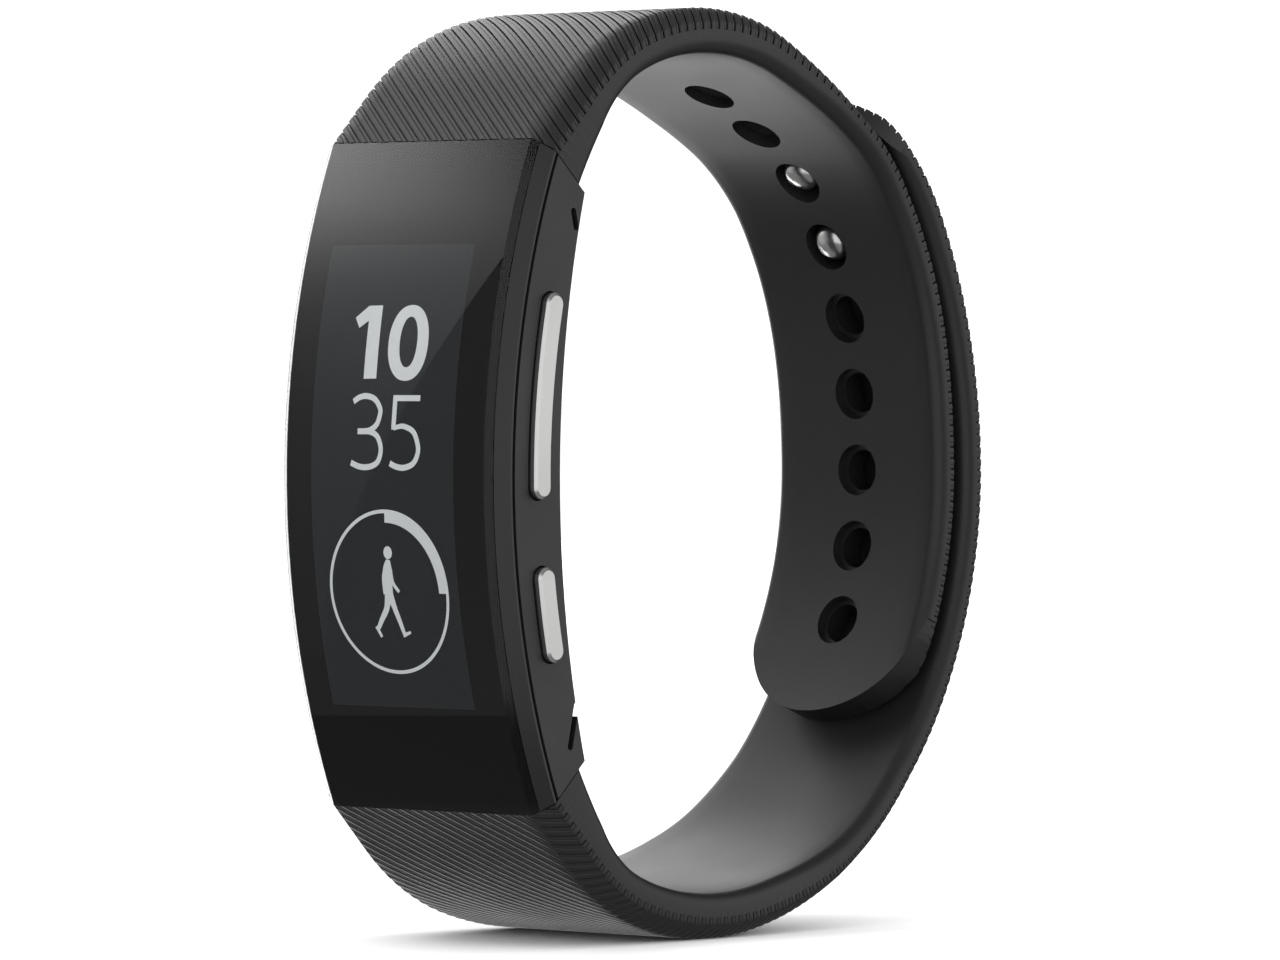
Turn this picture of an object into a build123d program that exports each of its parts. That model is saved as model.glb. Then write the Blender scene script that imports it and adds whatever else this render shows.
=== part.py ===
"""Fitness tracker band: a curved core with a cover glass, two side keys and a two-piece strap.

Frame: X runs along the wrist, with the keys on +X. The display looks along -Y. Z is up, and the
closed loop stands on its lowest point at Z = 0, centred on X and on its depth in Y.
Lengths are in millimetres.
"""
from build123d import *
import math
import os

# ---- overall sizes ---------------------------------------------------------------------------
loop_depth = 54.6          # front of the glass to the back of the clasp side
core_width = 22.5          # across the core, along the wrist
core_arc_length = 48.16    # glass length, measured along its curve
core_radius = 61.5         # curve of the glass, about an axis along X
back_radius = 80.0         # curve of the core's back
side_depth = 6.02          # front of the glass to the back edge of the housing, at mid-height

# ---- core shell ------------------------------------------------------------------------------
glass_flat_half = 9.77     # half width of the glass's plain front
glass_bevel_run = 0.55     # width of the ground bevel beside it
glass_bevel_drop = 0.35    # fall of that bevel
glass_thickness = 1.0
rail_drop = 1.13           # fall from the glass's front to the housing's edge
groove_top = 1.3           # the dark joint line round the core starts here
groove_foot = 1.57         # and ends here, where the housing starts
groove_recess = 0.25
frame_depth = 1.05         # the bezel frame's sheet lies this far below the glass's front
frame_thickness = 0.55
wall = 1.2                 # housing wall
cover_thickness = 0.65
cover_crown = 0.9          # how far the rear cover bulges towards the wrist
fit_gap = 0.1              # between pieces that drop into each other

# ---- display and insides -----------------------------------------------------------------------
display_width = 14.11
display_height = 32.64
panel_margin = 1.1         # panel edge outside the lit area
panel_thickness = 0.8
board_thickness = 0.6
pack_thickness = 1.7
inner_gap = 0.1            # air between stacked inner pieces

# ---- side keys ---------------------------------------------------------------------------------
key_depth = 3.8            # middle of the keys, below the glass's front
key_width = 1.62
key_proud = 0.65
key_gap = 0.12             # slit round each key
key_bevel = 0.2
key_flange = 0.25          # lip that keeps a key from falling out
flange_thickness = 0.3
flange_clear = 0.3
volume_length = 15.2
volume_centre = 6.05
action_length = 7.0
action_centre = -10.2
switch_clear = 0.32

# ---- strap ---------------------------------------------------------------------------------------
lead_angle = 43.7          # heading of the strap where it leaves the core, from +Z towards +Y
lead_length = 5.0
upper_bends = (((19.0, 31.2), (23.1, 37.8)), ((163.5, 4.0), (18.0, 36.4)), 41.1)
lower_bends = (((17.5, 28.2), (27.0, 27.0)), ((31.1, 51.5),), 34.9)
# Each half: radius and turn of the arcs from the core to the top, then from the top to the back,
# and the radius of the arc that closes the half at the back.
root_thickness = 5.1
root_taper = 12.0          # length over which the root thins
strap_thickness = 3.25     # over the top of the wrist
end_thickness = 2.4        # each layer at the back
thinning_start = 28.0      # arc lengths between which the strap thins to that
thinning_end = 42.0
layer_gap = 0.16           # air between the two layers at the studs
slack_gap = 0.6            # and how much more the loose end stands off further round
plan_start = 8.0           # the strap keeps the core's width up to this far behind the front
shoulder_half = 9.5        # half widths of the strap
waist_half = 8.4
end_half = 8.0
shoulder_back = 17.0       # distances of those widths in front of the loop's back
waist_back = 8.5
dip_start = 28.0           # where the upper strap starts to pass under the lower one
dip_end = 54.0
slack_end = 72.0
lower_tip = 39.0           # arc length of the lower strap's tip, from the core's upper end
upper_tip = 93.5           # arc length of the upper strap's tip
upper_cut = 62.95          # flex line of the upper strap's tail
lower_cut = 69.2           # flex line of the lower strap's tail
flex_gap = 0.2

# ---- holes, studs and inserts ----------------------------------------------------------------------
hole_first = 33.4          # arc length of the first hole
hole_pitch = 5.65          # between holes, along the strap's inner face
hole_count = 9
hole_radius = 1.5
walk_step = 0.05
mouth_radius = 1.85
mouth_depth = 0.7
stud_holes = (2, 3)        # the two holes that the studs sit in
stud_head_radius = 1.45
stud_neck_radius = 0.95
stud_head_height = 1.15
plate_half = 3.2
plate_thickness = 0.5
plate_inset = 0.55         # rubber over the plate
plate_ends = 4.2
anchor_half = 7.5
anchor_thickness = 1.2
anchor_reach = 3.4


# ---- the loop's outer line ---------------------------------------------------------------------------
def arc_step(heading, turn):
    """Displacement along Y and Z of an arc of radius 1 that turns from heading by turn, degrees."""
    a = math.radians(heading)
    b = math.radians(heading + turn)
    return math.cos(a) - math.cos(b), math.sin(b) - math.sin(a)


def close_half(bends):
    """Arcs from the core's end to the back. Front and back radii are scaled to close the half."""
    front, back, closing_radius = bends
    turned = lead_angle + sum(turn for _, turn in front + back)
    back = back + ((closing_radius, 180 - turned),)
    sums = []
    heading = lead_angle
    for group in (front, back):
        total = [0.0, 0.0]
        for radius, turn in group:
            dy, dz = arc_step(heading, turn)
            total[0] += radius * dy
            total[1] += radius * dz
            heading += turn
        sums.append(total)
    lead = math.radians(lead_angle)
    need_y = loop_depth - loop_start[0] - lead_length * math.sin(lead)
    need_z = -loop_start[1] - lead_length * math.cos(lead)
    (ay, az), (by, bz) = sums
    det = ay * bz - by * az
    front_scale = (need_y * bz - by * need_z) / det
    back_scale = (ay * need_z - need_y * az) / det
    arcs = [(radius * front_scale, turn) for radius, turn in front]
    return arcs + [(radius * back_scale, turn) for radius, turn in back]


def half_length(arcs):
    return lead_length + sum(radius * math.radians(turn) for radius, turn in arcs)


half_angle = core_arc_length / 2 / core_radius
loop_start = (core_radius * (1 - math.cos(half_angle)), core_radius * math.sin(half_angle))
upper_arcs = close_half(upper_bends)
lower_arcs = close_half(lower_bends)
upper_length = half_length(upper_arcs)
loop_length = upper_length + half_length(lower_arcs)


def raw_point(arcs, s, inset):
    """Point of one half at arc length s, moved inwards by inset, from the glass's apex."""
    heading = math.radians(lead_angle)
    y, z = loop_start
    run = min(s, lead_length)
    y += run * math.sin(heading)
    z += run * math.cos(heading)
    left = s - run
    for radius, turn in arcs:
        if left <= 0:
            break
        step = min(left / radius, math.radians(turn))
        y += radius * (math.cos(heading) - math.cos(heading + step))
        z += radius * (math.sin(heading + step) - math.sin(heading))
        heading += step
        left -= radius * step
    return y + inset * math.cos(heading), z - inset * math.sin(heading), heading


def half_reach(arcs):
    """Height of a half's furthest point above the middle of the core."""
    steps = 400
    return max(raw_point(arcs, half_length(arcs) * i / steps, 0)[1] for i in range(steps + 1))


front_y = -loop_depth / 2
mid_z = half_reach(lower_arcs)
core_axis = Axis((0, front_y + core_radius, mid_z), (1, 0, 0))
back_axis = Axis((0, front_y + side_depth + back_radius, mid_z), (1, 0, 0))
half_width = core_width / 2


def loop_point(s, inset=0.0):
    """Y, Z and heading in radians at arc length s from the core's upper end, all round the loop."""
    if s <= upper_length:
        y, z, heading = raw_point(upper_arcs, s, inset)
        return y + front_y, mid_z + z, heading
    y, z, heading = raw_point(lower_arcs, loop_length - s, inset)
    return y + front_y, mid_z - z, 2 * math.pi - heading


def loop_plane(s, inset=0.0):
    """Plane at arc length s: its x is +X, its y runs along the strap and its normal points out."""
    y, z, heading = loop_point(s, inset)
    normal = (0, -math.cos(heading), math.sin(heading))
    return Plane(origin=(0, y, z), x_dir=(1, 0, 0), z_dir=normal)


# ---- builders ----------------------------------------------------------------------------------------
def bend(section, u_low, u_high, radius=core_radius, axis=core_axis):
    """Turns a section of the XY plane about an axis along X, from arc length u_low to u_high."""
    start = section.rotate(axis, -math.degrees(u_high / radius))
    return Solid.revolve(start, math.degrees((u_high - u_low) / radius), axis)


def section_face(points):
    """Face from (x, depth below the glass's front) points, at mid-height."""
    corners = [(x, front_y + depth, mid_z) for x, depth in points]
    return make_face(Polyline(*corners, close=True)).faces()[0]


def curved_slab(x_low, x_high, d_low, d_high, u_low, u_high):
    """Block that follows the glass's curve: x, depth below the glass and arc length along it."""
    points = ((x_low, d_low), (x_high, d_low), (x_high, d_high), (x_low, d_high))
    return bend(section_face(points), u_low, u_high)


def core_zone(end_inset, half=60.0):
    """Everything between the two strap seams, with each seam moved inwards by end_inset."""
    lead = math.radians(lead_angle)
    shift = (-end_inset * math.sin(lead), -end_inset * math.cos(lead))
    y0, z0, _ = loop_point(0, -8.0)
    y1, z1, _ = loop_point(0, 14.0)
    upper = [(y0 + shift[0], z0 + shift[1]), (y1 + shift[0], z1 + shift[1])]
    lower = [(y, 2 * mid_z - z) for y, z in reversed(upper)]
    outline = Polyline(*(upper + lower), close=True)
    return extrude(Plane.YZ * make_face(outline), amount=half, both=True)


def core_block(half, d_front, back_grow, end_inset):
    """Core-shaped block: from d_front under the glass to the back edge, grown by back_grow."""
    front = Pos(front_y + core_radius, mid_z) * Circle(core_radius - d_front)
    back = Pos(front_y + side_depth + back_radius, mid_z) * Circle(back_radius - back_grow)
    crescent = extrude(Plane.YZ * (front - back), amount=half, both=True)
    return (crescent & core_zone(end_inset)).solids().sort_by(Axis.Y)[0]


def key_blank(centre, length, width, x_low, x_high):
    """Stadium-shaped key that follows the core's curve, standing along X."""
    r = width / 2
    ends = length / 2 - r
    body = curved_slab(x_low, x_high, key_depth - r, key_depth + r, centre - ends, centre + ends)
    for side in (-ends, ends):
        angle = (centre + side) / core_radius
        arm = core_radius - key_depth
        y = front_y + core_radius - arm * math.cos(angle)
        z = mid_z + arm * math.sin(angle)
        body = body + extrude(Plane.YZ.offset(x_low) * (Pos(y, z) * Circle(r)), amount=x_high - x_low)
    return body.clean()


def ease(s, low, high):
    """Smooth rise from 0 at low to 1 at high."""
    t = min(1.0, max(0.0, (s - low) / (high - low)))
    return t * t * (3 - 2 * t)


def strap_inset(s):
    """Thickness of the strap at arc length s from its own root."""
    if s < root_taper:
        left = 1 - s / root_taper
        return strap_thickness + (root_thickness - strap_thickness) * left * left
    return strap_thickness + (end_thickness - strap_thickness) * ease(s, thinning_start, thinning_end)


def upper_outset(s):
    """Inset of the upper strap's outer face: zero at first, then under the lower strap."""
    pressed = (end_thickness + layer_gap) * ease(s, dip_start, dip_end)
    return pressed + slack_gap * ease(s, dip_end, slack_end)


def strap_piece(s_low, s_high, outer, inner):
    """Closed piece of strap between two arc lengths, with the insets given as functions."""
    steps = max(4, int((s_high - s_low) / 3))
    stations = [s_low + (s_high - s_low) * i / steps for i in range(steps + 1)]
    out_line = [loop_point(s, outer(s))[:2] for s in stations]
    in_line = [loop_point(s, inner(s))[:2] for s in reversed(stations)]
    edges = [Spline(*out_line), Line(out_line[-1], in_line[0])]
    edges += [Spline(*in_line), Line(in_line[-1], out_line[0])]
    profile = Plane.YZ * make_face(edges)
    return extrude(profile, amount=half_width, both=True) & strap_plan()


def strap_plan():
    """The strap's taper, seen from above: full width at the core, narrow at the back."""
    back = loop_depth / 2
    side = [(half_width, front_y), (half_width, front_y + plan_start)]
    side += [(shoulder_half, back - shoulder_back), (waist_half, back - waist_back), (end_half, back)]
    side += [(end_half, back + 5)]
    outline = side + [(-x, y) for x, y in reversed(side)]
    return extrude(make_face(Polyline(*outline, close=True)), amount=2 * mid_z + 10)


def rounded_tip(s, towards_root):
    """Keeps what lies inside a strap's rounded tip. towards_root is +1 or -1 along arc length."""
    plane = loop_plane(s + towards_root * end_half)
    along = plane.y_dir.dot(Vector(0, *tangent_at(s))) * towards_root
    reach = 60.0
    keep = Circle(end_half) + Pos(0, math.copysign(reach / 2, along)) * Rectangle(2 * end_half + 6, reach)
    return extrude(plane * keep, amount=25, both=True)


def tangent_at(s):
    """Direction of rising arc length in Y and Z."""
    _, _, heading = loop_point(s)
    return math.sin(heading), math.cos(heading)


def hole_station(index):
    """Arc length of a hole, found by walking the pitch along the strap's inner face."""
    s = hole_first
    left = index * hole_pitch
    here = loop_point(s, upper_inner(s))
    while left > 0:
        s += walk_step
        there = loop_point(s, upper_inner(s))
        left -= math.dist(here[:2], there[:2])
        here = there
    return s


def post(s, radius, inset_low, inset_high):
    """Round post along the loop's normal at arc length s, between two insets."""
    plane = loop_plane(s, inset_high)
    return extrude(plane * Circle(radius), amount=inset_high - inset_low)


# ---- core shell ----------------------------------------------------------------------------------------
half_arc = core_arc_length / 2
bevel_half = glass_flat_half + glass_bevel_run
frame_half = half_width - groove_recess - 0.2
cavity_half = half_width - wall
panel_front = glass_thickness + inner_gap / 2
panel_back = panel_front + panel_thickness
stack_front = panel_back + inner_gap
switch_face = cavity_half - flange_clear - flange_thickness - switch_clear
seam_gap = 0.04
frame_end = 2.6            # bezel frame stops short of the glass's ends


def make_cover_glass():
    points = ((-glass_flat_half, 0), (glass_flat_half, 0), (bevel_half, glass_bevel_drop),
              (bevel_half, glass_thickness), (-bevel_half, glass_thickness),
              (-bevel_half, glass_bevel_drop))
    return bend(section_face(points), -half_arc, half_arc) & core_zone(seam_gap)


def make_bezel_frame():
    """Two facetted rails beside the glass, joined by a thin frame that carries the display."""
    rail = ((bevel_half + 0.05, glass_bevel_drop + 0.02), (half_width, rail_drop),
            (half_width, groove_top), (frame_half, groove_top), (frame_half, groove_foot),
            (bevel_half + 0.05, groove_foot))
    rails = bend(section_face(rail), -half_arc, half_arc)
    rails += rails.mirror(Plane.YZ)
    sheet = curved_slab(-frame_half, frame_half, frame_depth, frame_depth + frame_thickness,
                        frame_end - half_arc, half_arc - frame_end)
    window = curved_slab(-display_width / 2 - panel_margin - fit_gap,
                         display_width / 2 + panel_margin + fit_gap, 0, 5,
                         -display_height / 2 - panel_margin - fit_gap,
                         display_height / 2 + panel_margin + fit_gap)
    return (rails + sheet - window) & core_zone(seam_gap)


def make_case_seals():
    """Rubber strips that show as a dark line between bezel and housing."""
    low = frame_half + 0.01
    high = half_width - groove_recess
    strip = curved_slab(low, high, groove_top + 0.02, groove_foot - 0.02, 0.5 - half_arc, half_arc - 0.5)
    strips = Compound([strip, strip.mirror(Plane.YZ)])
    return Compound([s for s in (strips & core_zone(seam_gap + 0.1)).solids()])


def make_housing():
    """Middle shell: an open-ended frame, with windows for the keys, the port and the sound."""
    shell = core_block(half_width, groove_foot, 0, seam_gap)
    shell -= core_block(cavity_half, -5, 20, wall)
    pocket_floor = max(groove_foot, frame_depth + frame_thickness) + fit_gap / 2
    pocket = curved_slab(-frame_half - fit_gap / 2, frame_half + fit_gap / 2, 0, pocket_floor,
                         frame_end - fit_gap - half_arc, half_arc - frame_end + fit_gap)
    shell -= pocket
    for x, z in screw_places:
        shell += screw_boss(x, z)
    for centre, length in ((volume_centre, volume_length), (action_centre, action_length)):
        slit = 2 * key_gap
        shell -= key_blank(centre, length + slit, key_width + slit, cavity_half - 1, half_width + 2)
    shell -= port_block(fit_gap, 3.0)
    shell -= sound_slot(upper_slot, 0, 3.0)
    shell -= sound_slot(lower_slot, 0, 3.0)
    for tongue_side in (1, -1):
        shell -= strap_anchor(tongue_side, fit_gap / 2)
    return shell.solids().sort_by(SortBy.VOLUME)[-1]


def make_rear_cover():
    """Slightly domed plate against the wrist, inside the housing's rim."""
    half = cavity_half - fit_gap
    edge = front_y + side_depth
    low = edge - cover_thickness
    dome = edge + cover_crown
    outline = [ThreePointArc((-half, low, mid_z), (0, dome - cover_thickness, mid_z), (half, low, mid_z)),
               Line((half, low, mid_z), (half, edge, mid_z)),
               ThreePointArc((half, edge, mid_z), (0, dome, mid_z), (-half, edge, mid_z)),
               Line((-half, edge, mid_z), (-half, low, mid_z))]
    plate = bend(make_face(outline).faces()[0], -30, 30, back_radius, back_axis)
    plate = plate & core_zone(wall + fit_gap)
    for x, z in screw_places:
        plate -= screw_tool(x, z, screw_hole_radius, screw_head_radius + 0.1, 0.1)
    return plate.solids()[0]


# ---- screws ----------------------------------------------------------------------------------------------
screw_head_radius = 1.0
screw_hole_radius = 0.6
screw_head_height = 0.45
screw_inset_x = 1.9
boss_radius = 1.4
boss_height = 1.1
screw_z = loop_start[1] - 6.9
screw_places = [(sx * (cavity_half - screw_inset_x), sz * screw_z) for sx in (-1, 1) for sz in (-1, 1)]


def back_depth(z):
    """Y of the core's back edge line at height z above the middle."""
    return front_y + side_depth + back_radius - math.sqrt(back_radius ** 2 - z * z)


def dome_face(x, z):
    """Y of the rear cover's outer face."""
    return back_depth(z) + cover_crown * (1 - (x / cavity_half) ** 2) * 0.75


def screw_boss(x, z):
    """Boss in the housing under a cover screw, joined to the side wall."""
    top = dome_face(x, z) - cover_thickness - 0.4
    plane = Plane(origin=(x, top, mid_z + z), x_dir=(1, 0, 0), z_dir=(0, 1, 0))
    reach = screw_inset_x + 0.4
    web = Pos(math.copysign(reach / 2, x), 0) * Rectangle(reach, 1.6)
    hole = Circle(screw_hole_radius - 0.1)
    return extrude(plane * (Circle(boss_radius) + web - hole), amount=-boss_height)


def screw_tool(x, z, shank, head, grow):
    """Shank and head of a rear-cover screw, or the hole for one, along Y."""
    origin = (x, dome_face(x, z) - screw_head_height - grow, mid_z + z)
    plane = Plane(origin=origin, x_dir=(1, 0, 0), z_dir=(0, 1, 0))
    top = extrude(plane * Circle(head), amount=screw_head_height + grow + (1.0 if grow else -0.05))
    stem = extrude(plane * Circle(shank), amount=-1.35 - grow)
    return top + stem


def make_screws():
    """Cross-head screws that hold the rear cover."""
    screws = []
    for x, z in screw_places:
        body = screw_tool(x, z, screw_hole_radius - 0.1, screw_head_radius, 0)
        top = body.faces().sort_by(Axis.Y)[-1].center()
        plane = Plane(origin=(top.X, top.Y - 0.22, top.Z), x_dir=(1, 0, 0), z_dir=(0, 1, 0))
        cross = Rectangle(1.1, 0.24) + Rectangle(0.24, 1.1)
        screws.append(body - extrude(plane * cross, amount=1))
    return Compound([s.solids()[0] for s in screws])


# ---- openings in the housing --------------------------------------------------------------------------
port_half = 3.6
port_low = 2.3
port_high = 4.2
port_centre = -1.0
port_depth = 3.3
upper_slot = (17.1, 18.7)
lower_slot = (-19.0, -15.6)
slot_height = 0.5
slot_back = 0.55


def port_block(grow, proud):
    return curved_slab(-half_width - proud, -half_width + port_depth + grow, port_low - grow,
                       port_high + grow, port_centre - port_half - grow, port_centre + port_half + grow)


def sound_slot(span, inset, reach):
    """Slot low in the side wall, near the back edge, for the microphone or the speaker."""
    low, high = span
    middle = (low + high) / 2
    y = back_depth(middle) - slot_back
    slope = math.degrees(math.asin(middle / back_radius))
    plane = Plane(origin=(half_width - wall - 0.4, y, mid_z + middle), x_dir=(0, 0, 1), z_dir=(1, 0, 0))
    outline = Rot(0, 0, slope) * SlotOverall(high - low - inset, slot_height - inset)
    return extrude(plane * outline, amount=wall + reach - inset)


# ---- keys ------------------------------------------------------------------------------------------------
def make_key(centre, length):
    """Side key: bevelled stadium face, a shank through the wall and a lip inside it."""
    face_x = half_width + key_proud
    lip_top = cavity_half - flange_clear
    key = key_blank(centre, length, key_width, lip_top - 0.05, face_x)
    edges = key.faces().sort_by(Axis.X)[-1].edges()
    key = chamfer(edges, key_bevel)
    lip = key_blank(centre, length + 2 * key_flange, key_width + 2 * key_flange,
                    lip_top - flange_thickness, lip_top)
    return (key + lip).solids()[0]


def switch_block(centre, length):
    """Surface-mounted side switch, with a small plunger that faces its key."""
    body = curved_slab(switch_face - 1.3, switch_face - 0.25, key_depth - 0.7, key_depth + 0.3,
                       centre - length / 2, centre + length / 2)
    plunger = curved_slab(switch_face - 0.3, switch_face, key_depth - 0.4, key_depth + 0.1,
                          centre - 0.6, centre + 0.6)
    return (body + plunger).solids()[0]


# ---- insides -----------------------------------------------------------------------------------------------
def make_board():
    board = curved_slab(-7.6, 7.6, stack_front, stack_front + board_thickness, -20.2, -0.4)
    return board.solids()[0]


def chip_top():
    return stack_front + board_thickness


def make_speaker():
    """Slim receiver box with a raised diaphragm frame, by the lower slot."""
    low = chip_top() + inner_gap
    box = curved_slab(-3.0, 6.4, low, low + 0.8, -19.8, -15.6)
    ring = curved_slab(-2.4, 5.8, low + 0.8, low + 0.9, -19.2, -16.2)
    return (box + ring).solids()[0]


def make_motor():
    """Coin vibration motor on the board."""
    angle = -10.8 / core_radius
    arm = core_radius - (chip_top() + inner_gap + 0.16)
    origin = (-3.6, front_y + core_radius - arm * math.cos(angle), mid_z + arm * math.sin(angle))
    plane = Plane(origin=origin, x_dir=(1, 0, 0), z_dir=(0, math.cos(angle), -math.sin(angle)))
    coin = extrude(plane * Circle(3.6), amount=0.95)
    tab = extrude(plane * (Pos(0, 3.6) * Rectangle(2.4, 1.6)), amount=0.25)
    return (coin + tab).solids()[0]


def strap_anchor(side, grow):
    """Stiff plate moulded into a strap's root, with a tongue that hooks into the housing's end."""
    plane = loop_plane(0, root_thickness * 0.52)
    tongue = Rectangle(2 * anchor_half + 2 * grow, 2 * anchor_reach + 2 * grow)
    plate = extrude(plane * tongue, amount=anchor_thickness / 2 + grow, both=True)
    plate -= extrude(plane * (Pos(0, -anchor_reach) * Rectangle(40, 2 * (anchor_reach - wall + 0.1))),
                     amount=5, both=True)
    plate = plate.solids()[0]
    return plate if side > 0 else plate.mirror(Plane.XY.offset(mid_z))


# ---- straps --------------------------------------------------------------------------------------------------
def upper_inner(s):
    return upper_outset(s) + strap_inset(s)


def lower_outer(s):
    return 0.0


def lower_inner(s):
    """The lower strap thins towards its tip, where the upper strap passes under it."""
    full = strap_inset(loop_length - s)
    return full if s > dip_end else min(full, upper_outset(s) - layer_gap)


def bore_holes(strap, s_low, s_high):
    """Stepped adjustment holes. The two that hold studs are wide right through."""
    for index in range(hole_count):
        s = hole_station(index)
        if s_low < s < s_high:
            wide = index in stud_holes
            strap -= post(s, mouth_radius if wide else hole_radius, -6, 14)
            mouth = upper_inner(s) - mouth_depth
            strap -= post(s, mouth_radius, mouth, mouth + 5)
    return strap.solids().sort_by(SortBy.VOLUME)[-1]


def make_upper_strap():
    strap = strap_piece(seam_gap, upper_cut - flex_gap / 2, upper_outset, upper_inner)
    strap -= strap_anchor(1, 0.0)
    return bore_holes(strap, 0, upper_cut)


def make_upper_strap_tail():
    tail = strap_piece(upper_cut + flex_gap / 2, upper_tip, upper_outset, upper_inner)
    tail &= rounded_tip(upper_tip, -1)
    return bore_holes(tail, upper_cut, upper_tip)


def make_lower_strap():
    strap = strap_piece(lower_cut + flex_gap / 2, loop_length - seam_gap, lower_outer, lower_inner)
    strap -= strap_anchor(-1, 0.0)
    return strap.solids()[0]


def make_lower_strap_tail():
    tail = strap_piece(lower_tip, lower_cut - flex_gap / 2, lower_outer, lower_inner)
    tail &= rounded_tip(lower_tip, 1)
    tail -= make_clasp_plate()
    for index in stud_holes:
        tail -= post(hole_station(index), stud_neck_radius, plate_inset, end_thickness + 3)
    return tail.solids().sort_by(SortBy.VOLUME)[-1]


def make_clasp_plate():
    """Steel plate moulded into the lower strap's tip, behind the studs."""
    low = hole_station(stud_holes[0]) - plate_ends
    high = hole_station(stud_holes[-1]) + plate_ends
    band = strap_piece(low, high, lambda s: plate_inset, lambda s: plate_inset + plate_thickness)
    middle = loop_plane((low + high) / 2)
    outline = extrude(middle * SlotOverall(high - low - 2, 2 * plate_half, rotation=90), amount=25, both=True)
    return (band & outline).solids()[0]


def make_clasp_studs():
    """Two studs with domed heads, fixed to the clasp plate and facing the wrist."""
    studs = []
    for index in stud_holes:
        s = hole_station(index)
        head_end = upper_inner(s) - 0.05
        neck = post(s, stud_neck_radius, plate_inset + plate_thickness, head_end - 0.2)
        head = post(s, stud_head_radius, head_end - stud_head_height, head_end)
        rim = head.edges().filter_by(GeomType.CIRCLE).sort_by(Axis.Y)[0]
        head = fillet(rim, 0.5)
        studs.append(((neck + head) - make_clasp_plate()).solids()[0])
    return Compound(studs)


# ---- assembly --------------------------------------------------------------------------------------------------
def build_nodes():
    board_back = chip_top()
    nodes = {
        "cover_glass": make_cover_glass(),
        "bezel_frame": make_bezel_frame(),
        "case_seals": make_case_seals(),
        "housing": make_housing(),
        "rear_cover": make_rear_cover(),
        "rear_cover_screws": make_screws(),
        "display_panel": curved_slab(-display_width / 2 - panel_margin, display_width / 2 + panel_margin,
                                     panel_front, panel_back, -display_height / 2 - panel_margin,
                                     display_height / 2 + panel_margin),
        "display_flex": curved_slab(-4.0, 4.0, panel_back + 0.02, stack_front - 0.01, -17.2, -3.0),
        "main_board": make_board(),
        "processor_shield": curved_slab(0.6, 6.6, board_back, board_back + 0.9, -14.6, -8.0),
        "battery": curved_slab(-6.6, 6.6, stack_front, stack_front + pack_thickness, 0.6, 17.4),
        "speaker": make_speaker(),
        "microphone": curved_slab(3.0, 6.0, stack_front + 0.1, stack_front + 1.0, 18.5, 20.2),
        "vibration_motor": make_motor(),
        "usb_port": make_usb_port(),
        "radio_antenna": curved_slab(-9.4, -8.2, stack_front, stack_front + 0.5, 4.0, 15.0),
        "contactless_coil": make_coil(),
        "volume_switches": Compound([switch_block(volume_centre - 5.2, 3.0),
                                     switch_block(volume_centre + 5.2, 3.0)]),
        "action_switch": switch_block(action_centre, 3.0),
        "volume_rocker": make_key(volume_centre, volume_length),
        "action_button": make_key(action_centre, action_length),
        "upper_strap": make_upper_strap(),
        "upper_strap_tail": make_upper_strap_tail(),
        "upper_strap_anchor": strap_anchor(1, 0.0),
        "lower_strap": make_lower_strap(),
        "lower_strap_tail": make_lower_strap_tail(),
        "lower_strap_anchor": strap_anchor(-1, 0.0),
        "clasp_plate": make_clasp_plate(),
        "clasp_studs": make_clasp_studs(),
    }
    return nodes


def make_usb_port():
    """Metal shell of the charging socket, open on -X, with its contact tongue."""
    shell = port_block(0, -0.15)
    hollow = curved_slab(-half_width - 2, -half_width + port_depth - 0.4, port_low + 0.25,
                         port_high - 0.25, port_centre - port_half + 0.25, port_centre + port_half - 0.25)
    middle = (port_low + port_high) / 2
    tongue = curved_slab(-half_width + 0.8, -half_width + port_depth - 0.3, middle - 0.25, middle + 0.25,
                         port_centre - port_half + 1.1, port_centre + port_half - 1.1)
    return (shell - hollow + tongue).solids()[0]


def make_coil():
    """Flat antenna ring for contactless pairing, on the battery's back."""
    top = stack_front + pack_thickness + 0.02
    ring = curved_slab(-6.4, 6.4, top, top + 0.12, 2.0, 15.8)
    return (ring - curved_slab(-4.6, 4.6, top - 1, top + 1, 3.8, 14.0)).solids()[0]


if __name__ == "__main__":
    os.makedirs("parts", exist_ok=True)
    for name, shape in build_nodes().items():
        export_step(shape, f"parts/{name}.step")
        print(f"{name:22s} {len(shape.solids())} solids {shape.volume:9.2f} mm3")
    print(f"loop length {loop_length:.2f}, upper half {upper_length:.2f}, middle at Z {mid_z:.2f}")
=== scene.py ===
"""Fitness tracker band: finished surfaces, ribbed straps, display and studio around the CAD frame."""
import math
import bmesh
import bpy
from mathutils import Matrix, Vector


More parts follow.
